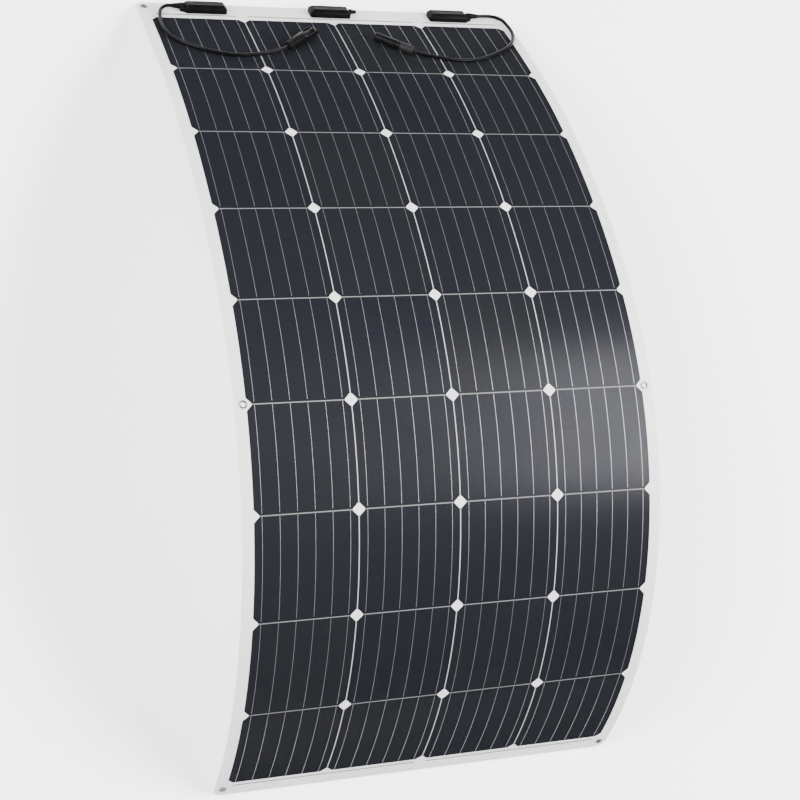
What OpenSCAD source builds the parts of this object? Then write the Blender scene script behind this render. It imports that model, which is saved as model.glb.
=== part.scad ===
// Flexible solar sheet, bent into an arch that rests on its two short edges.
// X runs across the sheet, +Y towards the junction-box end, +Z up.
// The origin is on the floor, under the middle of the arch.

/* [Cells] */
// Edge length of one wafer
cell_size = 156.75; // [150:0.25:158]
// Diameter of the ingot that rounds the wafer's corners
wafer_d = 210; // [205:1:220]
// Clear gap between neighbouring cells
cell_gap = 2.5; // [2:0.5:4]
// Thickness of a cell
cell_t = 0.2; // [0.15:0.05:0.3]
// Ribbons on the front of each cell
ribbon_count = 6; // [3:1:9]
// Width of a ribbon
ribbon_w = 1.2; // [0.8:0.1:2]
// Thickness of a ribbon
ribbon_t = 0.2; // [0.1:0.05:0.3]
// Bare cell between a ribbon's lower end and the cell's edge
ribbon_stop = 2.5; // [1:0.5:5]
// Width of the bus ribbons beyond the first and last row
bus_w = 2.4; // [1.5:0.1:5]

/* [Sheet] */
// Width of the sheet
sheet_w = 670; // [660:1:700]
// Sheet beyond the cells at the junction-box end
top_margin = 50; // [48:1:80]
// Sheet beyond the cells at the plain end
bottom_margin = 34.5; // [30:0.5:60]
// Radius of the sheet's corners
corner_r = 18; // [5:1:25]
// Thickness of the white backsheet
back_t = 1.5; // [1:0.1:2]
// Thickness of the clear front film with its bonding layer
film_t = 1; // [0.8:0.1:1.5]
// Gap left between the leaves at each bending line
leaf_gap = 0.5; // [0.4:0.1:1]

/* [Eyelets] */
// Radius of an eyelet's hole
eyelet_bore_r = 3.75; // [2.5:0.25:4]
// Radius of an eyelet's rolled rim
eyelet_rim_r = 6; // [5.5:0.25:6.5]
// Height of the rim above the sheet
eyelet_rim_t = 0.8; // [0.5:0.1:1.2]

/* [Junction boxes] */
// Length of a box
box_l = 72; // [60:1:90]
// Depth of a box at its foot
box_d = 26; // [24:1:30]
// Height of a box
box_h = 13; // [12:1:16]
// Wall of a box
box_wall = 2; // [1.5:0.1:2.5]
// Distance of each outer box from the middle one
box_pitch = 220; // [180:1:230]

/* [Cables and connectors] */
// Outer diameter of a cable
cable_d = 6; // [5:0.5:7]
// Length of the gland outside its box
gland_l = 20; // [16:1:24]
// Largest radius of the latching connector
latch_plug_r = 8; // [7.5:0.5:8]
// Largest radius of the socket connector
socket_plug_r = 7.4; // [7:0.1:8]
// Clearance between a connector's nut and its thread
thread_gap = 0.06; // [0.02:0.01:0.1]

/* [Hidden] */
$fn = 48;
arc_fn = 720;
wafer_fn = 180;
columns = 4;
rows = 9;
pitch = cell_size + cell_gap;

// Heights above the sheet's mid-surface
bottom_z = -(back_t + film_t) / 2;
back_z = bottom_z + back_t;
cell_z = back_z + cell_t;
ribbon_z = cell_z + ribbon_t;
top_z = -bottom_z;

// Degrees that each row of cells bends, from the junction-box end
row_bend = [4, 7, 6.5, 8.5, 12.5, 15, 15.5, 16, 14];

// The arch: one arc per row, which the outer rows carry on into their margins
function bend_before(i) = i == 0 ? 0 : bend_before(i - 1) + row_bend[i - 1];
function radius(i) = pitch * 180 / PI / row_bend[i];
function normal(a) = [sin(a), cos(a)];
function along(a) = [-cos(a), sin(a)];
function edge_point(i, lead) = i == 0 ? [0, 0] :
    edge_point(i - 1, lead)
    + radius(i - 1) * (normal(lead - bend_before(i)) - normal(lead - bend_before(i - 1)));
function arc_point(i, lead, turn, h) =
    edge_point(i, lead) - radius(i) * normal(lead - bend_before(i))
    + (radius(i) + h) * normal(lead - bend_before(i) - turn);
function top_end(lead, h) = arc_point(0, lead, -row_bend[0] * top_margin / pitch, h);
function bottom_end(lead, h) =
    arc_point(rows - 1, lead, row_bend[rows - 1] * (1 + bottom_margin / pitch), h);
function chord(lead) = bottom_end(lead, bottom_z) - top_end(lead, bottom_z);

// The first slope puts both short edges on the floor
first_slope = atan2(-chord(0)[1], -chord(0)[0]);
sheet_end = rows * pitch + bottom_margin;
mid_y = (top_end(first_slope, top_z)[0] + bottom_end(first_slope, top_z)[0]) / 2;
floor_z = top_end(first_slope, bottom_z)[1];
slopes = [for (i = [0:rows]) first_slope - bend_before(i)];
edges = [for (i = [0:rows]) edge_point(i, first_slope) - [mid_y, floor_z]];
centres = [for (i = [0:rows - 1]) edges[i] - radius(i) * normal(slopes[i])];

// A place on the sheet: u across, v down from the first row's edge, w above mid-surface
function row_at(v) = max(0, min(rows - 1, floor(v / pitch)));
function slope_at(v) = slopes[row_at(v)] - row_bend[row_at(v)] * (v / pitch - row_at(v));
function surface_point(v, w) =
    centres[row_at(v)] + (radius(row_at(v)) + w) * normal(slope_at(v));
function place(u, v, w) = [u, surface_point(v, w)[0], surface_point(v, w)[1]];
function tilted(v, d) = [
    d[0],
    d[1] * cos(slope_at(v)) + d[2] * sin(slope_at(v)),
    d[2] * cos(slope_at(v)) - d[1] * sin(slope_at(v))
];

// Eyelets stand at the corners and beside the middle bending line
barrel_r = eyelet_bore_r + 0.75;
barrel_clear = 0.1;
seat_gap = 0.05;
corner_ease = 0.4;
eyelet_u = 322;
top_eyelet_v = -35;
middle_eyelet_v = 5 * pitch;
bottom_eyelet_v = rows * pitch + 15.5;
tab_r = 8;
tab_clear = 0.6;

// Junction boxes
box_v = -27;
box_base_h = 5;
box_bevel = 5.5;
box_corner_r = 4;
outlet_z = 6.8;
outlet_r = 4.1;
outlet_clear = 0.05;
gland_r = 5.4;
foot_l = 7.5;
stub_l = 12;
stub_r = 3.5;
terminal_x = 14;
terminal_h = 3.4;
lead_r = 0.6;
diode_r = 2.6;

// Cable routes as [u, v, w], from the gland to the connector
cable_r = cable_d / 2;
cable_sides = 10;
cable_steps = 2;
left_route = [
    [-276, -27, 8.05], [-287, -26, 8], [-299, -14, 6.5], [-305, 12, 4.6], [-306, 45, 4.4],
    [-296, 76, 4.4], [-262, 104, 4.4], [-217, 121, 4.4], [-183, 123, 5], [-148, 118, 7],
    [-121, 110, 9.2], [-110, 100, 9.4]
];
right_route = [
    [276, -27, 8.05], [290, -28, 8.4], [305, -27, 8.6], [318, -20, 8], [326, -5, 5.6],
    [326, 28, 4.4], [308, 65, 4.4], [274, 94, 4.4], [227, 118, 4.4], [188, 123, 5],
    [153, 119, 7.4], [123, 113, 9.2], [111, 104, 9.4]
];

// Connectors, measured along their own axis from the cable's end
plug_w = 9.4;
left_turn = 43;
right_turn = 142;
nut_cap = 3;
thread_r = 5.4;
part_gap = 0.2;
left_nut_l = 14;
left_body_end = 50;
barrel_end = 80;
barrel_out_r = 4.6;
barrel_in_r = 3.3;
left_contact_r = 2.4;
latch_l = 33;
latch_w = 6.5;
latch_in = 7;
latch_out = 9;
hook_out = 10;
shoulder = [6, 2 * latch_out + 0.4, 8];
right_nut_l = 24;
right_body_end = 70;
socket_r = 5.1;
socket_floor = 46;
window = [6, 20, 6.8];
pin_r = 1.9;
pin_end = 64;

// Moves children onto the sheet at u, v, with their +Y up the sheet and +Z outwards
module at(u, v) {
    translate(place(u, v, 0)) rotate([-slope_at(v), 0, 0]) children();
}

// A bent layer of row i, between two heights above mid-surface
module leaf(i, low, high) {
    r = radius(i);
    trim = leaf_gap / 2 / r * 180 / PI;
    start = i == 0 ? slope_at(-top_margin) : slopes[i] - trim;
    finish = i == rows - 1 ? slope_at(sheet_end) : slopes[i + 1] + trim;
    reach = r + 50;
    translate([-sheet_w / 2, centres[i][0], centres[i][1]])
        rotate([90, 0, 90]) linear_extrude(sheet_w) intersection() {
            difference() {
                circle(r + high, $fn = arc_fn);
                circle(r + low, $fn = arc_fn);
            }
            polygon([[0, 0], reach * normal(start), reach * normal(finish)]);
        }
}

// What a rounded corner takes away, at the end of the sheet that v gives
module corner_cuts(v, turn) {
    for (side = [-1, 1]) at(side * (sheet_w / 2 - corner_r), v)
        rotate([0, 0, turn]) translate([0, 0, -10]) linear_extrude(20) difference() {
            translate([side * cos(turn) > 0 ? 0 : -2 * corner_r, 0]) square(2 * corner_r);
            circle(corner_r + corner_ease);
        }
}

module eyelet_holes(v, r) {
    for (side = [-1, 1]) at(side * eyelet_u, v) cylinder(r = r, h = 20, center = true);
}

// One row's layer with its rounded corners and its eyelet holes
module layer(i, low, high) {
    difference() {
        leaf(i, low, high);
        if (i == 0) corner_cuts(corner_r - top_margin, 0);
        if (i == rows - 1) corner_cuts(sheet_end - corner_r, 180);
        if (i == 0) eyelet_holes(top_eyelet_v, barrel_r + barrel_clear);
        if (i == rows - 1) eyelet_holes(bottom_eyelet_v, barrel_r + barrel_clear);
        if (i == 4) eyelet_holes(middle_eyelet_v, tab_r);
        if (i == 5) eyelet_holes(middle_eyelet_v, tab_r + tab_clear);
    }
}

// Round tabs that carry the middle eyelets past the bending line
module eyelet_tabs() {
    difference() {
        for (side = [-1, 1]) at(side * eyelet_u, middle_eyelet_v)
            translate([0, 0, bottom_z]) cylinder(r = tab_r, h = back_t);
        eyelet_holes(middle_eyelet_v, barrel_r + barrel_clear);
    }
}

// Flat outlines of one row's wafers, around the row's middle
module cell_outlines(i) {
    chord_l = 2 * radius(i) * sin(row_bend[i] * cell_size / pitch / 2);
    for (c = [0:columns - 1])
        translate([(c - (columns - 1) / 2) * pitch, 0]) intersection() {
            square([cell_size, chord_l], center = true);
            circle(wafer_d / 2, $fn = wafer_fn);
        }
}

// Flat outlines of one row's ribbons, which stop short of each cell's lower edge
module ribbon_outlines(i) {
    half = radius(i) * sin(row_bend[i] * cell_size / pitch / 2);
    for (c = [0:columns - 1], n = [0:ribbon_count - 1])
        translate([(c - columns / 2 + (n + 0.5) / ribbon_count) * pitch - ribbon_w / 2,
                   ribbon_stop - half])
            square([ribbon_w, 2 * half - ribbon_stop]);
}

module backsheet(i) {
    color([0.9, 0.9, 0.91]) {
        layer(i, bottom_z, back_z);
        if (i == 4) eyelet_tabs();
    }
}

// The room of one row's cells, from the backsheet up to a given height
module cell_space(i, high) {
    intersection() {
        leaf(i, back_z, high);
        at(0, (i + 0.5) * pitch) translate([0, 0, -10]) linear_extrude(20) cell_outlines(i);
    }
}

module cells(i) {
    color([0.13, 0.14, 0.18]) cell_space(i, cell_z);
}

module ribbons(i) {
    color([0.72, 0.73, 0.75]) intersection() {
        leaf(i, cell_z, ribbon_z);
        at(0, (i + 0.5) * pitch) translate([0, 0, -10]) linear_extrude(20) ribbon_outlines(i);
    }
}

module film(i) {
    color([0.8, 0.85, 0.9, 0.3]) difference() {
        layer(i, back_z, top_z);
        cell_space(i, ribbon_z);
        if (i == 0) bus_ribbons_top();
        if (i == rows - 1) bus_ribbons_bottom();
    }
}

// A bus ribbon of row i between two places given in cell pitches from the middle
module bus_strip(i, from, to, v) {
    intersection() {
        leaf(i, back_z, cell_z);
        at(0, v) translate([from * pitch, -bus_w / 2, -10]) cube([(to - from) * pitch, bus_w, 20]);
    }
}

module bus_ribbons_top() {
    color([0.7, 0.71, 0.73]) {
        bus_strip(0, -1.93, -1.06, -11);
        bus_strip(0, -0.94, 0.94, -11);
        bus_strip(0, 1.06, 1.93, -11);
    }
}

module bus_ribbons_bottom() {
    color([0.7, 0.71, 0.73]) {
        bus_strip(rows - 1, -1.93, -0.06, rows * pitch + 7.5);
        bus_strip(rows - 1, 0.06, 1.93, rows * pitch + 7.5);
    }
}

// A rolled eyelet, with its washer behind the sheet
module eyelet() {
    rotate_extrude() polygon([
        [eyelet_bore_r, bottom_z - eyelet_rim_t],
        [barrel_r, bottom_z - eyelet_rim_t],
        [barrel_r, top_z + seat_gap],
        [eyelet_rim_r, top_z + seat_gap],
        [eyelet_rim_r - 0.4, top_z + eyelet_rim_t],
        [eyelet_bore_r, top_z + eyelet_rim_t]
    ]);
    translate([0, 0, bottom_z - eyelet_rim_t]) difference() {
        cylinder(r = eyelet_rim_r, h = eyelet_rim_t - seat_gap);
        cylinder(r = barrel_r + barrel_clear, h = 3, center = true);
    }
}

module eyelets(v) {
    color([0.75, 0.75, 0.77]) for (side = [-1, 1]) at(side * eyelet_u, v) eyelet();
}

module box_outline(inset) {
    l = box_l - 2 * inset;
    d = box_d - 2 * inset;
    r = box_corner_r - inset;
    square([l - 2 * r, d], center = true);
    square([l, d - 2 * r], center = true);
    for (x = [-1, 1], y = [-1, 1]) translate([x * (l / 2 - r), y * (d / 2 - r)]) circle(r);
}

module bevelled(width, height, depth) {
    translate([0, 0, -depth / 2]) linear_extrude(depth) polygon([
        [-width / 2, 0], [width / 2, 0], [width / 2, height - box_bevel],
        [width / 2 - box_bevel, height], [box_bevel - width / 2, height],
        [-width / 2, height - box_bevel]
    ]);
}

// The outer form of a box, or with an inset the form of its hollow
module box_form(inset) {
    l = box_l - 2 * inset;
    d = box_d - 2 * inset;
    h = box_h - inset;
    intersection() {
        linear_extrude(h) box_outline(inset);
        rotate([90, 0, 90]) bevelled(d, h, l);
        rotate([90, 0, 0]) bevelled(l, h, d);
    }
}

// Stands a box on the film, with its outlet at its own +X end
module box_place(x) {
    at(x, box_v) translate([0, 0, top_z + seat_gap]) rotate([0, 0, x < 0 ? 180 : 0]) children();
}

module outlet_hole() {
    translate([box_l / 2 - box_wall - 1, 0, outlet_z]) rotate([0, 90, 0])
        cylinder(r = outlet_r + outlet_clear, h = box_wall + 2);
}

module box_base(x) {
    color([0.09, 0.09, 0.1]) box_place(x) difference() {
        linear_extrude(box_base_h) box_outline(0);
        translate([0, 0, box_wall]) linear_extrude(box_base_h) box_outline(box_wall);
        outlet_hole();
    }
}

module box_lid(x) {
    color([0.12, 0.12, 0.13]) box_place(x) difference() {
        box_form(0);
        box_form(box_wall);
        translate([-box_l / 2, -box_d / 2, -1]) cube([box_l, box_d, box_base_h + 1]);
        outlet_hole();
    }
}

module bypass_diodes() {
    z = box_wall + terminal_h + lead_r;
    color([0.2, 0.2, 0.2]) for (x = [-1:1]) box_place(x * box_pitch)
        translate([0, 0, z]) rotate([0, 90, 0]) {
            cylinder(r = diode_r, h = 9, center = true);
            cylinder(r = lead_r, h = 2 * terminal_x + 6, center = true);
        }
}

module box_terminals() {
    color([0.75, 0.72, 0.6]) for (x = [-1:1], side = [-1, 1]) box_place(x * box_pitch)
        translate([side * terminal_x - 3.5, -4.5, box_wall]) cube([7, 9, terminal_h]);
}

module outlet_place(x) {
    box_place(x) translate([box_l / 2, 0, outlet_z]) rotate([0, 90, 0]) children();
}

// A tapered foot that carries the gland down to the sheet
module gland_foot() {
    translate([box_l / 2, 0, 0]) intersection() {
        linear_extrude(8) polygon([[0, -9.5], [0, 9.5], [foot_l, 6], [foot_l, -6]]);
        rotate([90, 0, 0]) translate([0, 0, -10]) linear_extrude(20)
            polygon([[0, 0], [foot_l, 0], [foot_l, 5.6], [0, 7.4]]);
    }
}

module cable_glands() {
    color([0.1, 0.1, 0.11]) for (side = [-1, 1]) {
        outlet_place(side * box_pitch) rotate_extrude() polygon([
            [0, -box_wall], [outlet_r, -box_wall], [outlet_r, 0], [gland_r, 0],
            [gland_r, 9], [cable_r + 1.6, 12], [cable_r + 1.2, gland_l], [0, gland_l]
        ]);
        box_place(side * box_pitch) gland_foot();
    }
}

module blanking_plug() {
    color([0.1, 0.1, 0.11]) outlet_place(0) rotate_extrude() polygon([
        [0, -box_wall], [outlet_r, -box_wall], [outlet_r, 0], [5, 0],
        [5, 3], [stub_r, 4], [stub_r, stub_l - 1], [stub_r - 1, stub_l], [0, stub_l]
    ]);
}

// A smooth tube along route points, with given directions at its two ends
function curve(a, b, c, d, t) =
    (2 * b + (c - a) * t + (2 * a - 5 * b + 4 * c - d) * t * t
     + (3 * b - a - 3 * c + d) * t * t * t) / 2;
function route_point(p, k) = place(p[k][0], p[k][1], p[k][2]);
function before(p, k) = k == 0 ? 2 * route_point(p, 0) - route_point(p, 1) : route_point(p, k - 1);
function after(p, k) = k == len(p) - 1 ? 2 * route_point(p, k) - route_point(p, k - 1)
    : route_point(p, k + 1);
function route_curve(p) = [
    for (k = [0:len(p) - 2], j = [0:cable_steps - 1])
        curve(before(p, k), route_point(p, k), route_point(p, k + 1), after(p, k + 1),
              j / cable_steps),
    route_point(p, len(p) - 1)
];
function unit(a) = a / norm(a);

module cable(route, out, into) {
    line = route_curve(route);
    last = len(line) - 1;
    ways = [for (k = [0:last]) k == 0 ? out : k == last ? into : unit(line[k + 1] - line[k - 1])];
    up = tilted(0, [0, 0, 1]);
    sides = [for (way = ways) unit(cross(way, up))];
    rings = [for (k = [0:last], a = [0:cable_sides - 1])
        line[k] + cable_r * (cos(a * 360 / cable_sides) * sides[k]
                             + sin(a * 360 / cable_sides) * cross(sides[k], ways[k]))];
    walls = [for (k = [0:last - 1], a = [0:cable_sides - 1])
        [k * cable_sides + a, (k + 1) * cable_sides + a,
         (k + 1) * cable_sides + (a + 1) % cable_sides, k * cable_sides + (a + 1) % cable_sides]];
    start_cap = [for (a = [0:cable_sides - 1]) a];
    end_cap = [for (a = [cable_sides - 1:-1:0]) last * cable_sides + a];
    color([0.06, 0.06, 0.07]) polyhedron(rings, concat([start_cap], walls, [end_cap]));
}

left_end = left_route[len(left_route) - 1];
right_end = right_route[len(right_route) - 1];

module left_cable() {
    cable(left_route, [-1, 0, 0], tilted(left_end[1], [cos(left_turn), sin(left_turn), 0]));
}

module right_cable() {
    cable(right_route, [1, 0, 0], tilted(right_end[1], [cos(right_turn), sin(right_turn), 0]));
}

// Stands a connector on the sheet, with its own +X away from the cable
module plug_place(end, turn) {
    at(end[0], end[1]) translate([0, 0, plug_w]) rotate([0, 0, turn]) children();
}

module turned_profile(points) {
    rotate([0, 90, 0]) rotate_extrude() polygon(points);
}

module plug_nut(length, r) {
    turned_profile([
        [0, 0], [r - 1.5, 0], [r, 2], [r, length], [thread_r + thread_gap, length],
        [thread_r + thread_gap, nut_cap], [0, nut_cap]
    ]);
}

module left_plug_nut() {
    color([0.13, 0.13, 0.14]) plug_place(left_end, left_turn)
        plug_nut(left_nut_l, latch_plug_r - 0.5);
}

module right_plug_nut() {
    color([0.2, 0.2, 0.21]) plug_place(right_end, right_turn)
        plug_nut(right_nut_l, socket_plug_r);
}

module left_plug_body() {
    start = nut_cap + part_gap;
    collar = left_nut_l + part_gap;
    color([0.1, 0.1, 0.11]) plug_place(left_end, left_turn) {
        turned_profile([
            [0, start], [thread_r, start], [thread_r, collar], [latch_plug_r, collar],
            [latch_plug_r, left_body_end], [barrel_out_r, left_body_end],
            [barrel_out_r, barrel_end], [barrel_in_r, barrel_end],
            [barrel_in_r, left_body_end + 4], [0, left_body_end + 4]
        ]);
        translate([left_body_end - shoulder[0], -shoulder[1] / 2, -shoulder[2] / 2])
            cube(shoulder);
    }
}

module latch_arm(side) {
    color([0.09, 0.09, 0.1]) plug_place(left_end, left_turn)
        translate([left_body_end + part_gap, 0, -latch_w / 2])
            linear_extrude(latch_w) scale([1, side]) polygon([
                [0, latch_in], [latch_l, latch_in], [latch_l, latch_in + 0.6],
                [latch_l - 3, hook_out], [latch_l - 5, hook_out], [latch_l - 5, latch_out],
                [0, latch_out]
            ]);
}

module right_plug_body() {
    start = nut_cap + part_gap;
    collar = right_nut_l + part_gap;
    color([0.09, 0.09, 0.1]) plug_place(right_end, right_turn) difference() {
        turned_profile([
            [0, start], [thread_r, start], [thread_r, collar], [socket_plug_r, collar],
            [socket_plug_r, right_body_end], [socket_r, right_body_end],
            [socket_r, socket_floor], [0, socket_floor]
        ]);
        translate([socket_floor + 6, -window[1] / 2, -window[2] / 2]) cube(window);
    }
}

// The socket contact of the latching connector and the pin of the other
module plug_contacts() {
    color([0.8, 0.8, 0.78]) {
        plug_place(left_end, left_turn) turned_profile([
            [0, left_body_end + 4], [left_contact_r, left_body_end + 4],
            [left_contact_r, barrel_end - 3], [pin_r + 0.05, barrel_end - 3],
            [pin_r + 0.05, left_body_end + 10], [0, left_body_end + 10]
        ]);
        plug_place(right_end, right_turn) turned_profile([
            [0, socket_floor], [pin_r + 0.8, socket_floor], [pin_r + 0.8, socket_floor + 2],
            [pin_r, socket_floor + 2], [pin_r, pin_end - 1], [pin_r - 0.8, pin_end],
            [0, pin_end]
        ]);
    }
}

backsheet(0);  // backsheet_1
cells(0);  // cells_1
ribbons(0);  // ribbons_1
film(0);  // film_1
backsheet(1);  // backsheet_2
cells(1);  // cells_2
ribbons(1);  // ribbons_2
film(1);  // film_2
backsheet(2);  // backsheet_3
cells(2);  // cells_3
ribbons(2);  // ribbons_3
film(2);  // film_3
backsheet(3);  // backsheet_4
cells(3);  // cells_4
ribbons(3);  // ribbons_4
film(3);  // film_4
backsheet(4);  // backsheet_5
cells(4);  // cells_5
ribbons(4);  // ribbons_5
film(4);  // film_5
backsheet(5);  // backsheet_6
cells(5);  // cells_6
ribbons(5);  // ribbons_6
film(5);  // film_6
backsheet(6);  // backsheet_7
cells(6);  // cells_7
ribbons(6);  // ribbons_7
film(6);  // film_7
backsheet(7);  // backsheet_8
cells(7);  // cells_8
ribbons(7);  // ribbons_8
film(7);  // film_8
backsheet(8);  // backsheet_9
cells(8);  // cells_9
ribbons(8);  // ribbons_9
film(8);  // film_9
bus_ribbons_top();
bus_ribbons_bottom();
eyelets(top_eyelet_v);  // eyelets_top
eyelets(middle_eyelet_v);  // eyelets_middle
eyelets(bottom_eyelet_v);  // eyelets_bottom
box_base(-box_pitch);  // left_box_base
box_lid(-box_pitch);  // left_box_lid
box_base(0);  // middle_box_base
box_lid(0);  // middle_box_lid
box_base(box_pitch);  // right_box_base
box_lid(box_pitch);  // right_box_lid
bypass_diodes();
box_terminals();
cable_glands();
blanking_plug();
left_cable();
right_cable();
left_plug_nut();
left_plug_body();
latch_arm(1);  // latch_arm_a
latch_arm(-1);  // latch_arm_b
right_plug_nut();
right_plug_body();
plug_contacts();
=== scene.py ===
"""The looks of the flexible solar sheet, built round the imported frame."""

import math

import bmesh
import bpy
from mathutils import Matrix, Vector, geometry


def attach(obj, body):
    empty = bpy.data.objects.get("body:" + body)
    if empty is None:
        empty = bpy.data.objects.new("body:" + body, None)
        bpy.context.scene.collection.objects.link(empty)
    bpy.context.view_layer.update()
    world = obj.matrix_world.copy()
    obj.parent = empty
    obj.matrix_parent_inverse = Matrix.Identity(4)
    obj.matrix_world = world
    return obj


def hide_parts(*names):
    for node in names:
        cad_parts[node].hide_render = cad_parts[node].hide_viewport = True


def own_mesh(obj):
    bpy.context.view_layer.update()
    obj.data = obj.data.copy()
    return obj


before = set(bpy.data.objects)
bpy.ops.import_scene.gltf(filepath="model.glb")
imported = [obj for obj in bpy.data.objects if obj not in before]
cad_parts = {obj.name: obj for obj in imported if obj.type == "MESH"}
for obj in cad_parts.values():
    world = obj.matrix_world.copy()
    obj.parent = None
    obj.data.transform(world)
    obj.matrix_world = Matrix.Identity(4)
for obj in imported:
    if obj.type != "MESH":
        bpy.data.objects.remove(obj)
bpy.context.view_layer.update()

# ---------------------------------------------------------------- the sheet's own frame
# Millimetres, as in the CAD source: u across the sheet, v down it from the first row's edge,
# w above the laminate's mid-surface.
CELL, GAP, WAFER_R = 156.75, 2.5, 105.0
PITCH = CELL + GAP
WIDTH, TOP_MARGIN, BOTTOM_MARGIN, CORNER_R = 670.0, 50.0, 34.5, 18.0
COLUMNS, ROWS, RIBBONS = 4, 9, 6
BOTTOM, BACK, CELLS_TOP, RIBBON_TOP, TOP = -1.25, 0.25, 0.45, 0.65, 1.25
CELLS_BOTTOM = BACK + 0.01
ROW_BEND = [4, 7, 6.5, 8.5, 12.5, 15, 15.5, 16, 14]
SHEET_END = ROWS * PITCH + BOTTOM_MARGIN
EYELET_U, EYELET_HOLE_R = 322.0, 4.6
EYELET_V = {"top": -35.0, "middle": 5 * PITCH, "bottom": ROWS * PITCH + 15.5}
BUS_TOP_V, BUS_BOTTOM_V, BUS_WIDTH = -11, ROWS * PITCH + 7.5, 2.4
BOX_V, BOX_PITCH = -27.0, 220.0
BEND_STEPS = 24  # flat strips that make up the bend of one row


def bend_before(i):
    """Degrees that the rows above row i turn through together."""
    return sum(ROW_BEND[:i])


def radius(i):
    return PITCH * 180 / math.pi / ROW_BEND[i]


def normal2(a):
    """The outward direction, seen from the side, where the sheet slopes by a degrees."""
    return Vector((math.sin(math.radians(a)), math.cos(math.radians(a))))


def edge_point(i, lead):
    """Where row i starts, seen from the side, if the first row starts at the slope lead."""
    if i == 0:
        return Vector((0, 0))
    turned = normal2(lead - bend_before(i)) - normal2(lead - bend_before(i - 1))
    return edge_point(i - 1, lead) + radius(i - 1) * turned


def arc_point(i, lead, turn, h):
    start = lead - bend_before(i)
    centre = edge_point(i, lead) - radius(i) * normal2(start)
    return centre + (radius(i) + h) * normal2(start - turn)


def top_end(lead, h):
    return arc_point(0, lead, -ROW_BEND[0] * TOP_MARGIN / PITCH, h)


def bottom_end(lead, h):
    return arc_point(ROWS - 1, lead, ROW_BEND[-1] * (1 + BOTTOM_MARGIN / PITCH), h)


# The sheet stands on its two ends, in the middle of the frame
chord = bottom_end(0, BOTTOM) - top_end(0, BOTTOM)
LEAD = math.degrees(math.atan2(-chord.y, -chord.x))
SHIFT = Vector(((top_end(LEAD, TOP).x + bottom_end(LEAD, TOP).x) / 2, top_end(LEAD, BOTTOM).y))
SLOPES = [LEAD - bend_before(i) for i in range(ROWS + 1)]
CENTRES = [edge_point(i, LEAD) - SHIFT - radius(i) * normal2(SLOPES[i]) for i in range(ROWS)]


def row_at(v):
    return max(0, min(ROWS - 1, math.floor(v / PITCH)))


def slope_at(v, row=None):
    i = row_at(v) if row is None else row
    return SLOPES[i] - ROW_BEND[i] * (v / PITCH - i)


def place(u, v, w, row=None):
    """The point in metres."""
    i = row_at(v) if row is None else row
    p = CENTRES[i] + (radius(i) + w) * normal2(slope_at(v, i))
    return Vector((u, p.x, p.y)) / 1000


def outward(v, row=None):
    n = normal2(slope_at(v, row))
    return Vector((0, n.x, n.y))


def standing(u, v, w=0.0, turn=0.0):
    """Matrix that stands millimetre geometry on the sheet: +Y up the sheet, +Z outward."""
    tilt = Matrix.Rotation(math.radians(-slope_at(v)), 4, "X")
    spin = Matrix.Rotation(math.radians(turn), 4, "Z")
    to_metres, lift = Matrix.Scale(0.001, 4), Matrix.Translation((0, 0, w))
    return Matrix.Translation(place(u, v, 0)) @ tilt @ to_metres @ lift @ spin


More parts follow.
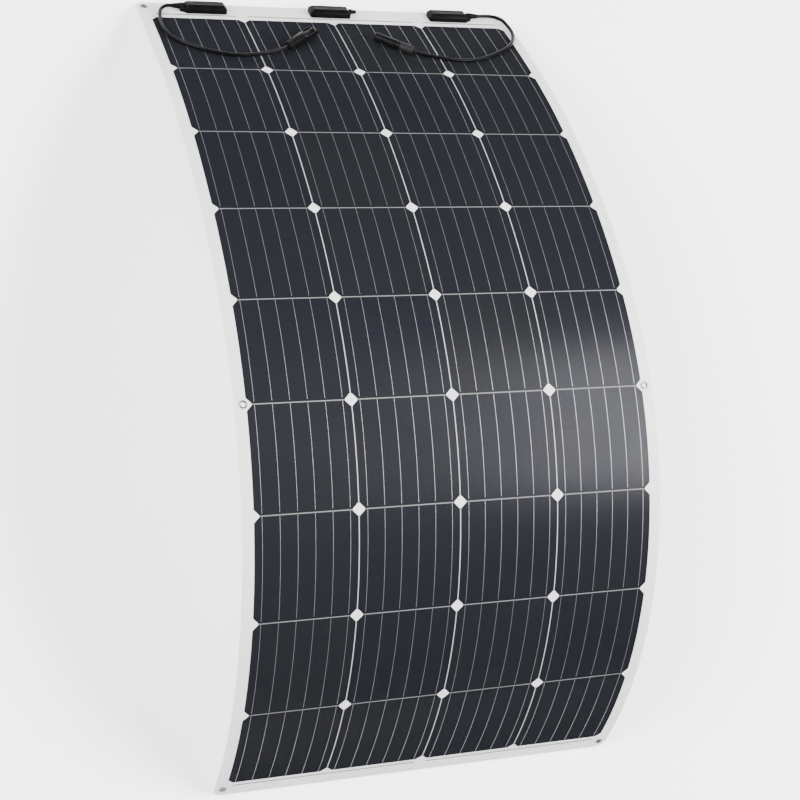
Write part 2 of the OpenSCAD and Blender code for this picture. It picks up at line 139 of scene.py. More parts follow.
# ---------------------------------------------------------------- materials
class Nodes:
    """A short way to write a node tree."""

    def __init__(self, name):
        self.material = bpy.data.materials.new(name)
        self.material.use_nodes = True
        self.tree = self.material.node_tree
        self.tree.nodes.clear()

    def add(self, kind, inputs=None, **settings):
        node = self.tree.nodes.new(kind)
        for key, value in settings.items():
            setattr(node, key, value)
        for key, value in (inputs or {}).items():
            self.put(node.inputs[key], value)
        return node

    def put(self, socket, value):
        if isinstance(value, bpy.types.NodeSocket):
            self.tree.links.new(value, socket)
        else:
            socket.default_value = value

    def math(self, operation, a, b=0.0, c=0.0):
        return self.add("ShaderNodeMath", {0: a, 1: b, 2: c}, operation=operation).outputs[0]

    def mix(self, factor, a, b):
        node = self.add("ShaderNodeMix", data_type="RGBA")
        self.put(node.inputs["Factor"], factor)
        self.put(node.inputs["A"], a)
        self.put(node.inputs["B"], b)
        return node.outputs["Result"]

    def noise(self, where, scale, detail=2.0, rough=0.5):
        return self.add(
            "ShaderNodeTexNoise",
            {"Vector": where, "Scale": scale, "Detail": detail, "Roughness": rough},
        ).outputs["Fac"]

    def spread(self, value, low, high):
        """Maps a noise, which stays near 0.5, onto low to high."""
        return self.add(
            "ShaderNodeMapRange",
            {"Value": value, "From Min": 0.3, "From Max": 0.7, "To Min": low, "To Max": high},
        ).outputs["Result"]

    def bump(self, height, strength, distance):
        inputs = {"Height": height, "Strength": strength, "Distance": distance}
        return self.add("ShaderNodeBump", inputs).outputs["Normal"]

    def object_space(self):
        return self.add("ShaderNodeTexCoord").outputs["Object"]

    def sheet_space(self):
        """Metres across and down the sheet."""
        return self.add("ShaderNodeUVMap", uv_map="sheet").outputs["UV"]

    def stretched(self, where, across, down):
        """A space scaled by two amounts, for streaks and patches that run along the sheet."""
        scale = (across, down, 1.0)
        return self.add("ShaderNodeMapping", {"Vector": where, "Scale": scale}).outputs["Vector"]

    def facing(self):
        """0 where the surface faces the eye, 1 where it is seen edge-on."""
        return self.add("ShaderNodeLayerWeight", {"Blend": 0.5}).outputs["Facing"]

    def finish(self, shader):
        out = self.add("ShaderNodeOutputMaterial")
        self.tree.links.new(shader, out.inputs["Surface"])
        return self.material

    def with_sheen(self, share, below, colour, rough, streak):
        """Another shader under a streaked gloss."""
        inputs = {"Color": colour, "Roughness": rough, "Normal": self.bump(streak, 0.12, 0.00008)}
        sheen = self.add("ShaderNodeBsdfAnisotropic", inputs).outputs[0]
        both = self.add("ShaderNodeMixShader", {0: share, 1: below.outputs[0], 2: sheen})
        return self.finish(both.outputs[0])

    def principled(self, **inputs):
        node = self.add("ShaderNodeBsdfPrincipled")
        for key, value in inputs.items():
            self.put(node.inputs[key.replace("_", " ")], value)
        return self.finish(node.outputs["BSDF"])


def rgba(r, g=None, b=None):
    return (r, r if g is None else g, r if b is None else b, 1.0)


def moulded(name, dark, light, rough, grain=2600, depth=0.5):
    """Black plastic with a spark-eroded grain, faint flow marks and uneven polish."""
    n = Nodes(name)
    at = n.object_space()
    fine, broad = n.noise(at, grain, 3, 0.6), n.noise(at, 55, 3, 0.6)
    colour = n.mix(n.spread(broad, 0, 1), dark, light)
    colour = n.mix(n.spread(fine, 0, 0.35), colour, rgba(*(1.8 * c for c in light[:3])))
    return n.principled(
        Base_Color=colour,
        Roughness=n.spread(broad, rough - 0.07, rough + 0.09),
        Specular_IOR_Level=0.035,
        Normal=n.bump(fine, depth, 0.00006),
    )


def backsheet_material():
    n = Nodes("white_backsheet")
    at = n.sheet_space()
    weave, broad = n.noise(at, 900, 2, 0.5), n.noise(at, 7, 3, 0.55)
    colour = n.mix(n.spread(broad, 0, 1), rgba(0.5, 0.502, 0.505), rgba(0.55, 0.55, 0.547))
    colour = n.mix(n.spread(weave, 0, 0.22), colour, rgba(0.42, 0.424, 0.43))
    # The gaps between the cells are painted narrow and grey: a painted shadow along the wafers'
    # edges, and painted shade between, greyer in the row gaps than in the column gaps
    part = n.add("ShaderNodeSeparateXYZ", {"Vector": at})
    across, down = part.outputs["X"], part.outputs["Y"]
    to_column = n.math("PINGPONG", across, PITCH / 2000)
    to_row = n.math("PINGPONG", down, PITCH / 2000)
    half_u, half_v = (COLUMNS / 2 * PITCH - 2) / 1000, ROWS / 2 * PITCH / 1000
    from_middle = n.math("ABSOLUTE", n.math("SUBTRACT", down, half_v))
    field_u = n.math("LESS_THAN", n.math("ABSOLUTE", across), half_u)
    field_v = n.math("LESS_THAN", from_middle, half_v - 0.002)
    field = n.math("MULTIPLY", field_u, field_v)
    diamond, edge_shadow_reach, middle_half = 0.0091, 0.0015, 0.00055
    for to_line, to_other, middle_shade in ((to_row, to_column, 0.12), (to_column, to_row, 0.3)):
        between = n.math("MULTIPLY", field, n.math("GREATER_THAN", to_other, diamond))
        # Painted shadow (0.02) along the wafers' edges, then painted shade in the middle of each
        # gap
        for reach, tone in ((edge_shadow_reach, 0.02), (middle_half, middle_shade)):
            line = n.math("MULTIPLY", between, n.math("LESS_THAN", to_line, reach))
            colour = n.mix(line, colour, rgba(tone, tone, tone * 1.04))
    return n.principled(
        Base_Color=colour,
        Roughness=n.spread(weave, 0.46, 0.62),
        Specular_IOR_Level=0.3,
        Normal=n.bump(weave, 0.35, 0.00008),
    )


def cell_material():
    """Dark silicon: its tint differs from cell to cell, under hair-thin printed fingers."""
    n = Nodes("silicon_cells")
    uv = n.sheet_space()
    part = n.add("ShaderNodeSeparateXYZ", {"Vector": uv})
    across = n.math("FLOOR", n.math("DIVIDE", part.outputs["X"], PITCH / 1000))
    down = n.math("FLOOR", n.math("DIVIDE", part.outputs["Y"], PITCH / 1000))
    which = n.add("ShaderNodeCombineXYZ", {"X": across, "Y": down})
    dice = n.add("ShaderNodeTexWhiteNoise", {"Vector": which.outputs[0]}, noise_dimensions="2D")
    blue, green = rgba(0.0042, 0.0048, 0.0074), rgba(0.0058, 0.0066, 0.0068)
    tint = n.mix(dice.outputs["Value"], blue, green)
    cloud = n.noise(uv, 28, 4, 0.6)
    pyramids = n.noise(uv, 2200, 2, 0.6)
    tint = n.mix(n.spread(cloud, 0, 0.6), tint, rgba(0.0068, 0.0066, 0.0092))
    tint = n.mix(n.spread(pyramids, 0, 0.4), tint, rgba(0.007, 0.0073, 0.009))
    half_pitch = 0.00095
    finger = n.math("DIVIDE", n.math("PINGPONG", part.outputs["Y"], half_pitch), half_pitch)
    finger = n.math("POWER", finger, 6.0)
    dark = n.add(
        "ShaderNodeBsdfPrincipled",
        {
            "Base Color": n.mix(finger, tint, rgba(0.013, 0.0135, 0.0165)),
            "Roughness": n.spread(pyramids, 0.42, 0.62),
            "Specular IOR Level": 0.0,
            "Normal": n.bump(pyramids, 0.3, 0.00003),
        },
    )
    # The soft sheen of the textured silicon under the matt film, streaked along the sheet
    streak = n.noise(n.stretched(uv, 520.0, 110.0), 1.0, 3, 0.6)
    patch = n.noise(n.stretched(uv, 38.0, 11.0), 1.0, 3, 0.6)
    gloss = n.mix(n.spread(patch, 0, 1), rgba(0.84, 0.93, 1.0), rgba(1.0, 0.92, 0.95))
    gloss = n.mix(n.spread(streak, 0, 0.4), gloss, rgba(0.64, 0.66, 0.7))
    facing = n.facing()
    frontal = n.math("MULTIPLY", n.math("POWER", n.math("SUBTRACT", 1.0, facing), 2.0), 0.0084)
    low_angle = n.math("MAXIMUM", n.math("MULTIPLY_ADD", facing, 2.0, -1.0), 0.0)
    share = n.math("MULTIPLY_ADD", n.math("POWER", low_angle, 3.0), 0.3, frontal)
    return n.with_sheen(share, dark, gloss, n.spread(n.noise(uv, 9, 3, 0.5), 0.27, 0.32), streak)


def ribbon_material(name, low, high):
    """Tinned copper, drawn lengthwise."""
    n = Nodes(name)
    at = n.sheet_space()
    streak = n.noise(n.stretched(at, 4200.0, 60.0), 1.0, 3, 0.6)
    spots = n.noise(at, 700, 2, 0.5)
    return n.principled(
        Base_Color=n.mix(n.spread(streak, 0, 1), rgba(*low), rgba(*high)),
        Metallic=0.9,
        Roughness=n.spread(spots, 0.42, 0.58),
        Normal=n.bump(streak, 0.3, 0.00004),
    )


def film_material():
    """Clear front film, seen by itself only at a low angle, where it shines."""
    n = Nodes("matt_front_film")
    streak = n.noise(n.stretched(n.sheet_space(), 520.0, 110.0), 1.0, 3, 0.6)
    grazing = n.math("MAXIMUM", n.math("MULTIPLY_ADD", n.facing(), 4.0, -3.0), 0.0)
    share = n.math("MULTIPLY", n.math("POWER", grazing, 3.0), 0.8)
    clear = n.add("ShaderNodeBsdfTransparent", {"Color": rgba(0.985, 0.985, 0.98)})
    return n.with_sheen(share, clear, rgba(1.0), n.spread(streak, 0.28, 0.36), streak)


def metal_material(name, low, high, rough):
    n = Nodes(name)
    at = n.object_space()
    fine, broad = n.noise(at, 1800, 3, 0.6), n.noise(at, 160, 2, 0.5)
    return n.principled(
        Base_Color=n.mix(n.spread(broad, 0, 1), rgba(*low), rgba(*high)),
        Metallic=1.0,
        Roughness=n.spread(fine, rough - 0.08, rough + 0.12),
        Normal=n.bump(fine, 0.2, 0.00004),
    )


def cable_material():
    """Cross-linked cable sheath, a little dusty, with faint extrusion marks."""
    n = Nodes("cable_sheath")
    at = n.object_space()
    fine, broad = n.noise(at, 1500, 3, 0.6), n.noise(at, 70, 3, 0.6)
    colour = n.mix(n.spread(broad, 0, 1), rgba(0.0008), rgba(0.0016, 0.0016, 0.0017))
    return n.principled(
        Base_Color=n.mix(n.spread(fine, 0, 0.3), colour, rgba(0.004)),
        Roughness=n.spread(broad, 0.28, 0.4),
        Specular_IOR_Level=0.05,
        Normal=n.bump(fine, 0.25, 0.00006),
    )


BACKSHEET = backsheet_material()
SILICON = cell_material()
RIBBON = ribbon_material("tinned_ribbon", (0.16, 0.162, 0.17), (0.24, 0.242, 0.252))
BUS = ribbon_material("tinned_bus", (0.05, 0.051, 0.055), (0.09, 0.091, 0.096))
FILM = film_material()
BOX = moulded("black_box_plastic", rgba(0.0009), rgba(0.0018, 0.0018, 0.0019), 0.36)
GLAND = moulded("gland_plastic", rgba(0.001), rgba(0.002, 0.002, 0.0021), 0.4, 2000)
PLUG = moulded(
    "connector_plastic", rgba(0.0016, 0.0018, 0.0016), rgba(0.003, 0.0033, 0.003), 0.36, 3000, 0.35
)
GREY_NUT = moulded(
    "grey_nut_plastic", rgba(0.006, 0.0063, 0.006), rgba(0.011, 0.0114, 0.0108), 0.4, depth=0.4
)
CABLE = cable_material()
EYELET = metal_material("nickel_eyelet", (0.1, 0.1, 0.098), (0.17, 0.17, 0.165), 0.24)
BRASS = metal_material("tinned_brass", (0.7, 0.68, 0.6), (0.8, 0.78, 0.7), 0.28)


def new_object(name, data, material, body, nodes=()):
    """A piece that rides on a body and stands in for the CAD nodes."""
    piece = bpy.data.objects.new(name, data)
    bpy.context.scene.collection.objects.link(piece)
    data.materials.append(material)
    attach(piece, body)
    if nodes:
        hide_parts(*nodes)
    return piece


def inside(point, loop):
    """Whether a point lies within a closed loop."""
    x, y, odd = point[0], point[1], False
    for k in range(len(loop)):
        (x0, y0), (x1, y1) = loop[k - 1], loop[k]
        if (y0 > y) != (y1 > y) and x < (x1 - x0) * (y - y0) / (y1 - y0) + x0:
            odd = not odd
    return odd


def circle_loop(u, v, r):
    turns = [2 * math.pi * k / 32 for k in range(32)]
    return [(u + r * math.cos(t), v + r * math.sin(t)) for t in turns]


def laminate(name, row, outlines, holes, low, high, stations, backed=True):
    """A bent layer of one row with the given outlines and holes, between two heights.

    It is cut across at each station, so that it can follow the bend. The walls are left out of
    the smooth normals, which come from the bend itself.
    """
    loops = [*outlines, *holes]
    points, edges = [], []
    for loop in loops:
        first = len(points)
        points += [Vector(p) for p in loop]
        edges += [(first + k, first + (k + 1) % len(loop)) for k in range(len(loop))]
    reach = WIDTH / 2 + 5  # a little beyond the sheet's sides
    for v in stations:
        edges.append((len(points), len(points) + 1))
        points += [Vector((-reach, v)), Vector((reach, v))]
    found = geometry.delaunay_2d_cdt(points, edges, [], 0, 1e-4)
    flat, triangles = found[0], []
    for face in found[2]:
        middle = sum((flat[k] for k in face), Vector((0, 0))) / len(face)
        if any(inside(middle, o) for o in outlines) and not any(inside(middle, h) for h in holes):
            corners = list(face)
            area = geometry.area_tri(*(flat[k].to_3d() for k in corners[:3]))
            if area < 1e-9:
                continue
            a, b, c = (flat[k] for k in corners[:3])
            if (b - a).cross(c - a) > 0:  # v runs down the sheet, so this faces inward
                corners.reverse()
            triangles.append(corners)
    used = sorted({k for t in triangles for k in t})
    number = {k: n for n, k in enumerate(used)}
    count = len(used)
    verts = [place(flat[k].x, flat[k].y, high, row) for k in used]
    verts += [place(flat[k].x, flat[k].y, low, row) for k in used]
    rims = {}  # edges that only one triangle has; a dictionary keeps their order
    for t in triangles:
        for k in range(3):
            pair = (t[k], t[(k + 1) % 3])
            if pair[::-1] in rims:
                del rims[pair[::-1]]
            else:
                rims[pair] = True
    faces = [tuple(number[k] for k in t) for t in triangles]
    if backed:
        faces += [tuple(number[k] + count for k in reversed(t)) for t in triangles]
    walls = [(number[b], number[a], number[a] + count, number[b] + count) for a, b in rims]
    mesh = bpy.data.meshes.new(name)
    mesh.from_pydata(verts, [], faces + walls)
    mesh.shade_smooth()
    layer = mesh.uv_layers.new(name="sheet")
    where = [flat[k] for k in used] * 2
    up = [outward(p.y, row) for p in where]
    normals = [None] * len(mesh.loops)
    for polygon in mesh.polygons:
        wall = polygon.index >= len(faces)
        back = polygon.index >= len(triangles)
        for k in polygon.loop_indices:
            v = mesh.loops[k].vertex_index
            layer.data[k].uv = where[v] / 1000
            normals[k] = polygon.normal if wall else (-up[v] if back else up[v])
    mesh.normals_split_custom_set(normals)
    return mesh


def stations(start, end):
    return [start + (end - start) * k / BEND_STEPS for k in range(1, BEND_STEPS)]


def settle(piece, row):
    """Gives a bent piece of any row but the first a mesh of its own."""
    if row == 0:
        return
    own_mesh(piece)


def sheet_outline(row):
    """One row's part of the sheet: its outline, with the sheet's round corners, and its ends."""
    half, start, end = WIDTH / 2, row * PITCH, (row + 1) * PITCH
    if row == 0:
        start = -TOP_MARGIN
    if row == ROWS - 1:
        end = SHEET_END
    loop = []
    for side, v, turn, round_it in (
        (-1, start, 180, row == 0),
        (1, start, 270, row == 0),
        (1, end, 0, row == ROWS - 1),
        (-1, end, 90, row == ROWS - 1),
    ):
        if not round_it:
            loop.append((side * half, v))
            continue
        centre = (side * (half - CORNER_R), v + (CORNER_R if v == start else -CORNER_R))
        for k in range(13):
            t = math.radians(turn + 90 * k / 12)
            loop.append((centre[0] + CORNER_R * math.cos(t), centre[1] + CORNER_R * math.sin(t)))
    return loop, start, end


def sheet_holes(row):
    # The middle eyelets sit on the gap between two rows, which both have the hole
    name = {0: "top", 4: "middle", 5: "middle", 8: "bottom"}.get(row)
    if name is None:
        return []
    return [circle_loop(side * EYELET_U, EYELET_V[name], EYELET_HOLE_R) for side in (-1, 1)]


def wafer_outline(column, row):
    """A square wafer with its corners cut by the round ingot."""
    u, v, half = (column - (COLUMNS - 1) / 2) * PITCH, (row + 0.5) * PITCH, CELL / 2
    cut = math.degrees(math.acos(half / WAFER_R))
    loop = []
    for quarter in range(4):
        for k in range(9):
            t = math.radians(90 * quarter + cut + (90 - 2 * cut) * k / 8)
            loop.append((u + WAFER_R * math.cos(t), v + WAFER_R * math.sin(t)))
    return loop


def rectangle(left, right, top, low):
    return [(left, top), (right, top), (right, low), (left, low)]


def ribbon_outlines(row):
    top, low = row * PITCH + GAP / 2 + 0.2, (row + 1) * PITCH - GAP / 2 - 2.5
    loops = []
    for column in range(COLUMNS):
        for n in range(RIBBONS):
            u = (column - COLUMNS / 2 + (n + 0.5) / RIBBONS) * PITCH
            loops.append(rectangle(u - 0.3, u + 0.3, top, low))
    return loops


def bus_strips(v, spans):
    """Strips across the sheet, each from one place to another in units of the cells' pitch."""
    top, low = v - BUS_WIDTH / 2, v + BUS_WIDTH / 2
    return [rectangle(start * PITCH, end * PITCH, top, low) for start, end in spans]


for row in range(ROWS):
    outline, start, end = sheet_outline(row)
    sheet, holes, lines = [outline], sheet_holes(row), stations(start, end)
    wafers, ribbons = [wafer_outline(c, row) for c in range(COLUMNS)], ribbon_outlines(row)
    for layer, node, material, outlines, cut, low, high, w in (
        ("sheet_back", "backsheet", BACKSHEET, sheet, holes, BOTTOM, BACK, (BOTTOM + BACK) / 2),
        ("wafers", "cells", SILICON, wafers, [], CELLS_BOTTOM, CELLS_TOP, CELLS_TOP),
        ("ribbon_set", "ribbons", RIBBON, ribbons, [], CELLS_TOP, RIBBON_TOP, RIBBON_TOP),
        ("front_film", "film", FILM, sheet, holes, BACK, TOP, TOP),
    ):
        name, backed = f"{layer}_{row + 1}", layer != "front_film"
        mesh = laminate(name, row, outlines, cut, low, high, lines, backed)
        piece = new_object(name, mesh, material, f"row_{row + 1}", [f"{node}_{row + 1}"])
        settle(piece, row)

for end, row, v, spans in (
    ("top", 0, BUS_TOP_V, ((-1.93, -1.06), (-0.94, 0.94), (1.06, 1.93))),
    ("bottom", ROWS - 1, BUS_BOTTOM_V, ((-1.93, -0.06), (0.06, 1.93))),
):
    name = f"bus_{end}"
    mesh = laminate(name, row, bus_strips(v, spans), [], CELLS_BOTTOM, CELLS_TOP, [])
    settle(new_object(name, mesh, BUS, f"row_{row + 1}", [f"bus_ribbons_{end}"]), row)


def from_bmesh(name, made, angle=32):
    """A mesh with smooth faces and sharp edges wherever two faces meet at more than the angle."""
    bmesh.ops.remove_doubles(made, verts=made.verts, dist=1e-7)
    bmesh.ops.recalc_face_normals(made, faces=made.faces)
    limit = math.radians(angle)
    for edge in made.edges:
        if len(edge.link_faces) == 2:
            edge.smooth = edge.calc_face_angle(0) < limit
    for face in made.faces:
        face.smooth = True
    mesh = bpy.data.meshes.new(name)
    made.to_mesh(mesh)
    made.free()
    return mesh


def loft(made, rings, closed=False):
    """Joins rings of equally many points, and caps the ends unless the last meets the first."""
    grown = [[made.verts.new(p) for p in ring] for ring in rings]
    pairs = list(zip(grown, grown[1:]))
    if closed:
        pairs.append((grown[-1], grown[0]))
    for a, b in pairs:
        for k in range(len(a)):
            made.faces.new((a[k - 1], a[k], b[k], b[k - 1]))
    if not closed:
        made.faces.new(grown[0])
        made.faces.new(grown[-1])


def lathe(made, profile, matrix, sides=48, closed=False, flute=None):
    """Turns (along, out) points about +X. flute(along, angle) is taken off the radius."""
    rings = []
    for along, out in profile:
        ring = []
        for k in range(sides):
            t = 2 * math.pi * k / sides
            r = out - (flute(along, t) if flute else 0)
            ring.append(matrix @ Vector((along, r * math.cos(t), r * math.sin(t))))
        rings.append(ring)
    loft(made, rings, closed)


def rounded(profile, size, steps=3):
    """A profile whose inner corners are rounded by up to the given size."""
    out = [profile[0]]
    for k in range(1, len(profile) - 1):
        a, b, c = (Vector(p) for p in profile[k - 1 : k + 2])
        before, after = (a - b), (c - b)
        cut = min(size, before.length * 0.45, after.length * 0.45)
        start, finish = b + before.normalized() * cut, b + after.normalized() * cut
        for s in range(steps + 1):
            t = s / steps
            out.append(tuple(start * (1 - t) ** 2 + b * 2 * t * (1 - t) + finish * t * t))
    return out + [profile[-1]]


UP = Matrix.Rotation(math.radians(-90), 4, "Y")  # turns +X to +Z

# ---------------------------------------------------------------- eyelets
# A rolled rim in front, a washer with a turned-over collar behind.
FRONT = rounded(
    [
        (BACK, 4.45), (BACK, 3.75), (TOP + 0.35, 3.75), (TOP + 0.8, 4.3), (TOP + 0.85, 5.1),
        (TOP + 0.4, 5.95), (TOP + 0.02, 6.0), (TOP + 0.02, 4.45),
    ],
    0.3,
)
WASHER = rounded(
    [
        (BACK, 3.8), (BOTTOM - 0.5, 3.8), (BOTTOM - 0.8, 4.3), (BOTTOM - 0.6, 4.9),
        (BOTTOM - 0.35, 5.2), (BOTTOM - 0.5, 5.8), (BOTTOM - 0.02, 6.0), (BOTTOM - 0.02, 4.45),
        (BACK, 4.45),
    ],
    0.25,
)
for place_name, row in (("top", 0), ("middle", 4), ("bottom", 8)):
    v, body = EYELET_V[place_name], f"row_{row + 1}"
    for kind, profile, w in (("rim", FRONT, TOP), ("washer", WASHER, BOTTOM)):
        made = bmesh.new()
        for side in (-1, 1):
            lathe(made, profile, standing(side * EYELET_U, v) @ UP, 40, closed=True)
        name = f"eyelet_{kind}s_{place_name}"
        nodes = [f"eyelets_{place_name}"] if kind == "rim" else []
        piece = new_object(name, from_bmesh(name, made), EYELET, body, nodes)
        settle(piece, row)


# ---------------------------------------------------------------- junction boxes
BOX_LENGTH, BOX_DEPTH, BOX_CORNER_R, OUTLET_Z, GLUE = 72, 26, 4, 6.8, 0.05


def box_matrix(x):
    """Where a box stands. The left one is turned, so that its outlet is on the left."""
    return standing(x, BOX_V, TOP + GLUE, 180 if x < 0 else 0)


def box_ring(z, inset):
    half, side, r = BOX_LENGTH / 2 - inset, BOX_DEPTH / 2 - inset, max(0.4, BOX_CORNER_R - inset)
    ring = []
    for quarter, (sx, sy) in enumerate(((1, 1), (-1, 1), (-1, -1), (1, -1))):
        for k in range(7):
            t = math.radians(90 * quarter + 90 * k / 6)
            x, y = sx * (half - r) + r * math.cos(t), sy * (side - r) + r * math.sin(t)
            ring.append(Vector((x, y, z)))
    return ring


def box_piece(name, x, profile, node):
    """Lofts a (height, inset) profile round the box."""
    made = bmesh.new()
    loft(made, [[box_matrix(x) @ p for p in box_ring(z, inset)] for z, inset in profile])
    new_object(name, from_bmesh(name, made, 25), BOX, "row_1", [node])


BASE = rounded([(0, 0.3), (0, 0.02), (4.75, 0.02), (4.95, 0.5)], 0.25)
LID = rounded(
    [(5.0, 0.6), (5.0, 0.12), (7.5, 0.12), (12.95, 5.55), (12.95, 8.2), (12.6, 8.6), (12.6, 9.5)],
    0.9,
    4,
)
for word, x in (("left", -BOX_PITCH), ("middle", 0.0), ("right", BOX_PITCH)):
    box_piece(f"{word}_box_foot", x, BASE, f"{word}_box_base")
    box_piece(f"{word}_box_cover", x, LID, f"{word}_box_lid")


def outlet(x):
    return box_matrix(x) @ Matrix.Translation((BOX_LENGTH / 2, 0, OUTLET_Z))


def ribs(count, depth, sharp, low, high):
    """Grooves between ribs round a turned piece, over part of its length."""

    def flute(along, t):
        if not low <= along <= high:
            return 0
        return depth * (0.5 - 0.5 * math.cos(count * t)) ** sharp

    return flute


GLAND_PROFILE = rounded(
    [
        (-2, 0.5), (-2, 4.1), (0, 4.1), (0, 5.4), (1.2, 5.4), (1.2, 5.0), (2.2, 5.0), (2.2, 5.4),
        (8.2, 5.4), (9, 5.1), (11.6, 4.6), (12.4, 4.6), (12.4, 4.1), (13.8, 4.1), (13.8, 4.5),
        (15.2, 4.45), (15.2, 4.0), (16.6, 4.0), (16.6, 4.35), (18, 4.3), (18, 3.95), (20, 3.85),
        (20, 3.05), (18, 3.05), (18, 0.5),
    ],
    0.3,
)
WEDGE_FOOT = -6.78
for word, x in (("left", -BOX_PITCH), ("right", BOX_PITCH)):
    made = bmesh.new()
    lathe(made, GLAND_PROFILE, outlet(x), 48, flute=ribs(16, 0.4, 2, 2.6, 8))
    # A wedge carries the end of the box out to the collar, down to the sheet
    rings = []
    for along, half, top in ((-0.3, 9.5, 0.6), (0.0, 9.5, 0.6), (7.1, 6.2, -1.1), (7.5, 5.9, -1.4)):
        section = (
            (-half, WEDGE_FOOT), (half, WEDGE_FOOT), (half - 0.2, top - 1.4),
            (half - 1.4, top), (1.4 - half, top), (0.2 - half, top - 1.4),
        )
        rings.append([outlet(x) @ Vector((along, y, z)) for y, z in section])
    loft(made, rings)
    name, nodes = f"{word}_gland", ["cable_glands"] if x < 0 else []  # one node holds both
    piece = new_object(name, from_bmesh(name, made, 30), GLAND, "row_1", nodes)
    piece.modifiers.new("edges", "BEVEL").width = 0.00025

made = bmesh.new()
PLUG_PROFILE = [
    (-2, 0.5), (-2, 4.1), (0, 4.1), (0, 5), (3, 5), (3.6, 3.6), (11.2, 3.45), (12, 2.6), (12, 0.4),
]
lathe(made, rounded(PLUG_PROFILE, 0.6, 4), outlet(0.0), 40)
new_object("outlet_plug", from_bmesh("outlet_plug", made), GLAND, "row_1", ["blanking_plug"])

# ---------------------------------------------------------------- cables
# Each route runs from the gland to the connector, in the sheet's own frame.
LEFT_ROUTE = [
    (-276, -27, 8.05), (-287, -26, 8), (-299, -14, 6.5), (-305, 12, 4.6), (-306, 45, 4.4),
    (-296, 76, 4.4), (-262, 104, 4.4), (-217, 121, 4.4), (-183, 123, 5), (-148, 118, 7),
    (-121, 110, 9.2), (-110, 100, 9.4),
]
RIGHT_ROUTE = [
    (276, -27, 8.05), (290, -28, 8.4), (305, -27, 8.6), (318, -20, 8), (326, -5, 5.6),
    (326, 28, 4.4), (308, 65, 4.4), (274, 94, 4.4), (227, 118, 4.4), (188, 123, 5),
    (153, 119, 7.4), (123, 113, 9.2), (111, 104, 9.4),
]
LEFT_TURN, RIGHT_TURN, PLUG_W = 43, 142, 9.4
ROUTE_STEPS = 3


def smooth_route(route):
    """A curve through the route's points, as more points (Catmull-Rom)."""
    points = [place(*p) for p in route]
    first = 2 * points[0] - points[1]
    last = 2 * points[-1] - points[-2]
    all_points, line = [first, *points, last], []
    for k in range(1, len(all_points) - 2):
        a, b, c, d = all_points[k - 1 : k + 3]
        square, cube = 2 * a - 5 * b + 4 * c - d, 3 * b - a - 3 * c + d
        for s in range(ROUTE_STEPS):
            t = s / ROUTE_STEPS
            line.append((2 * b + (c - a) * t + square * t * t + cube * t**3) / 2)
    return line + [points[-1]]


def cable(name, route, node, into):
    """A cable along the route, let into the gland and the connector. Also its length and start."""
    line = smooth_route(route)
    sideways = Vector((math.copysign(1, route[0][0]), 0, 0))
    line = [line[0] - sideways * 0.0018, *line, line[-1] + into * 0.0025]
    curve = bpy.data.curves.new(name, "CURVE")
    curve.dimensions = "3D"
    curve.bevel_depth, curve.bevel_resolution, curve.resolution_u = 0.003, 6, 4
    curve.use_fill_caps = True
    spline = curve.splines.new("BEZIER")
    spline.bezier_points.add(len(line) - 1)
    for point, where in zip(spline.bezier_points, line):
        point.co = where
        point.handle_left_type = point.handle_right_type = "AUTO"
    piece = new_object(name, curve, CABLE, "row_1", [node])
    size = sum((b - a).length for a, b in zip(line, line[1:]))
    return piece, size, line[0]


# ---------------------------------------------------------------- connectors
# Millimetres along each connector from its cable's end, and out from its axis.
def plug_matrix(route, turn):
    return standing(route[-1][0], route[-1][1], PLUG_W, turn)


LEFT_PLUG, RIGHT_PLUG = plug_matrix(LEFT_ROUTE, LEFT_TURN), plug_matrix(RIGHT_ROUTE, RIGHT_TURN)


def turned(name, profile, matrix, body, node, material, flute, size=0.4, sides=96):
    made = bmesh.new()
    lathe(made, rounded(profile, size), matrix, sides, flute=flute)
    return new_object(name, from_bmesh(name, made, 30), material, body, [node])


def nut_profile(length, r):
    return [
        (0, 3.05), (0, r - 1.9), (0.5, r - 1.3), (2.2, r - 0.1), (3.4, r),
        (length - 1.2, r), (length, r - 0.5), (length, 5.5), (3.1, 5.5), (3.1, 3.05),
    ]


left_nut = turned(
    "left_cap_nut", nut_profile(14, 7.5), LEFT_PLUG, "left_nut", "left_plug_nut", PLUG,
    ribs(12, 0.9, 3, 2.5, 13.2),
)
right_nut = turned(
    "right_cap_nut", nut_profile(24, 7.4), RIGHT_PLUG, "right_nut", "right_plug_nut", GREY_NUT,
    ribs(10, 1.0, 4, 4.5, 21.5), sides=120,
)

BODY_LEFT = [
    (3.3, 0.5), (3.3, 5.4), (14.25, 5.4), (14.25, 7.3), (15, 8.0), (19, 8.0), (19.4, 7.4),
    (21, 7.4), (21.4, 8.0), (44, 8.0), (45, 7.6), (50, 7.6), (50, 4.6), (66, 4.6), (66, 4.2),
    (68, 4.2), (68, 4.6), (79.4, 4.6), (80, 4.2), (80, 3.3), (54, 3.3), (54, 0.5),
]
SHOULDER = ((-9.2, -4), (9.2, -4), (9.2, 4), (-9.2, 4))
made = bmesh.new()
lathe(made, rounded(BODY_LEFT, 0.35), LEFT_PLUG, 72, flute=ribs(24, 0.35, 2, 23, 43.5))
rings = []
for x, taper in ((43.6, 0.12), (44.4, 0), (49.6, 0), (50, 0.05)):
    ring = [Vector((x, y * (1 - taper), z * (1 - taper))) for y, z in SHOULDER]
    rings.append([LEFT_PLUG @ p for p in ring])
loft(made, rings)
name = "left_connector_body"
left_body = new_object(name, from_bmesh(name, made, 30), PLUG, "row_1", ["left_plug_body"])

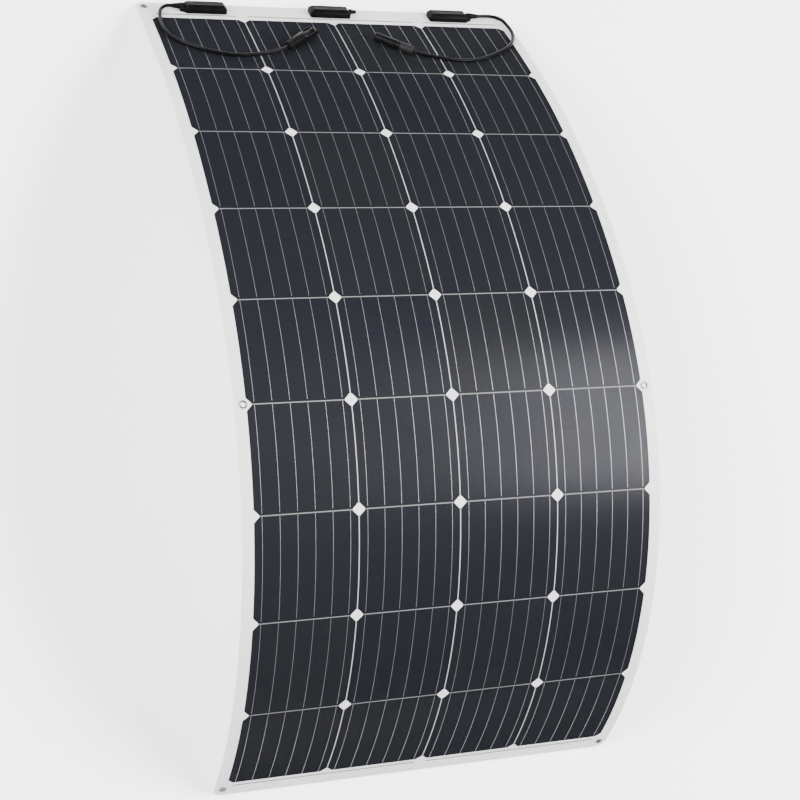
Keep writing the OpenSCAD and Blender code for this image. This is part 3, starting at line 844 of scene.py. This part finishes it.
BODY_RIGHT = [
    (3.3, 0.5), (3.3, 5.4), (24.25, 5.4), (24.25, 6.6), (25, 7.0), (29, 7.0), (29, 6.5),
    (31, 6.5), (31, 7.4), (51.8, 7.4), (52.2, 7.4), (57.8, 7.4), (58.2, 7.4), (68.6, 7.4),
    (70, 6.9), (70, 5.1), (46, 5.1), (46, 0.5),
]
sleeve_ribs = ribs(20, 0.3, 2, 32, 50)


def sleeve_shape(along, t):
    """Grip ribs, and the window on each side that a latch snaps into."""
    if 52 < along < 58 and abs(math.sin(t)) < 0.45:
        return 2.0
    return sleeve_ribs(along, t)


right_body = turned(
    "right_connector_body", BODY_RIGHT, RIGHT_PLUG, "row_1", "right_plug_body", PLUG,
    sleeve_shape, 0.3,
)

LATCH_START, LATCH_LENGTH, LATCH_OUT = 50.2, 33, 8.1
LATCH_OUTLINE = rounded(
    [
        (0, 7), (28, 7.05), (33, 7.3), (33, 7.7), (32.4, 8.3), (30.2, 10), (28, 10), (27.8, 9.1),
        (10, 9), (0, 9),
    ],
    0.3,
    2,
)
latches = []
for letter, side in (("a", 1), ("b", -1)):
    rings = []
    for z, inset in ((-3.25, 0.35), (-3.0, 0.08), (-2.6, 0), (2.6, 0), (3.0, 0.08), (3.25, 0.35)):
        ring = []
        for x, y in LATCH_OUTLINE:
            along = LATCH_START + max(inset, min(LATCH_LENGTH - inset, x))
            out = LATCH_OUT + (y - LATCH_OUT) * (1 - inset / 1.5)
            ring.append(LEFT_PLUG @ Vector((along, side * out, z)))
        rings.append(ring)
    made = bmesh.new()
    loft(made, rings)
    name, body, node = f"latch_prong_{letter}", f"latch_{letter}", f"latch_arm_{letter}"
    latches.append(new_object(name, from_bmesh(name, made, 30), PLUG, body, [node]))

left_pieces = [left_nut, left_body, *latches, "plug_contacts"]
for route, matrix, node, name, pieces in (
    (LEFT_ROUTE, LEFT_PLUG, "left_cable", "left_lead", left_pieces),
    (RIGHT_ROUTE, RIGHT_PLUG, "right_cable", "right_lead", [right_nut, right_body]),
):
    into = (matrix.to_3x3() @ Vector((1, 0, 0))).normalized()
    piece, size, exit_point = cable(name, route, node, into)

# Parts inside the boxes and connectors stay as their CAD nodes
for node, material in (("bypass_diodes", BOX), ("box_terminals", BRASS), ("plug_contacts", BRASS)):
    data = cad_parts[node].data
    data.materials.clear()
    data.materials.append(material)


# ---------------------------------------------------------------- floor, light and camera
def floor_material():
    n = Nodes("studio_floor")
    at = n.object_space()
    tone = n.mix(n.spread(n.noise(at, 1.2, 2, 0.5), 0, 1), rgba(0.9), rgba(0.92))
    return n.principled(Base_Color=tone, Roughness=0.9, Specular_IOR_Level=0.1)


made = bmesh.new()
bmesh.ops.create_grid(made, x_segments=8, y_segments=8, size=9)
for vert in made.verts:
    vert.co.z -= 0.0001  # clear of the sheet's ends
mesh = bpy.data.meshes.new("floor")
made.to_mesh(mesh)
made.free()
mesh.materials.append(floor_material())
floor = bpy.data.objects.new("floor", mesh)
bpy.context.scene.collection.objects.link(floor)

world = bpy.data.worlds.new("studio")
bpy.context.scene.world = world
world.use_nodes = True
background = world.node_tree.nodes["Background"].inputs
background["Color"].default_value = (0.95, 0.97, 1.0, 1)
background["Strength"].default_value = 0.45


def light(name, where, towards, size, power, size_y=None):
    data = bpy.data.lights.new(name, "AREA")
    data.shape = "RECTANGLE"
    data.size, data.size_y = size, size_y or size
    data.energy = power
    lamp = bpy.data.objects.new(name, data)
    bpy.context.scene.collection.objects.link(lamp)
    lamp.location = where
    lamp.rotation_mode = "QUATERNION"
    lamp.rotation_quaternion = (Vector(towards) - Vector(where)).to_track_quat("-Z", "Y")


light("sheen", (1.75, -0.12, 2.6), (0.2, -0.1, 0.3), 2.1, 270, size_y=0.6)
light("left", (-3.2, 0.3, 2.8), (0, 0, 0.1), 2.2, 520)
light("right", (3.6, -0.2, 2.0), (0, 0, 0.1), 1.6, 210)
light("front", (-2.2, -3.2, 2.4), (0, -0.2, 0.1), 2.0, 150)
light("back", (-1.8, 3.4, 2.6), (0, 0.2, 0.1), 2.0, 130)

eye = bpy.data.cameras.new("camera")
eye.lens, eye.sensor_width = 80.303, 36
eye.clip_start, eye.clip_end = 0.05, 50
camera = bpy.data.objects.new("camera", eye)
bpy.context.scene.collection.objects.link(camera)
camera.location = (-1.03296, -0.58971, 2.72153)
camera.rotation_euler = [math.radians(a) for a in (13.1307, -20.2978, -7.2823)]
bpy.context.scene.camera = camera
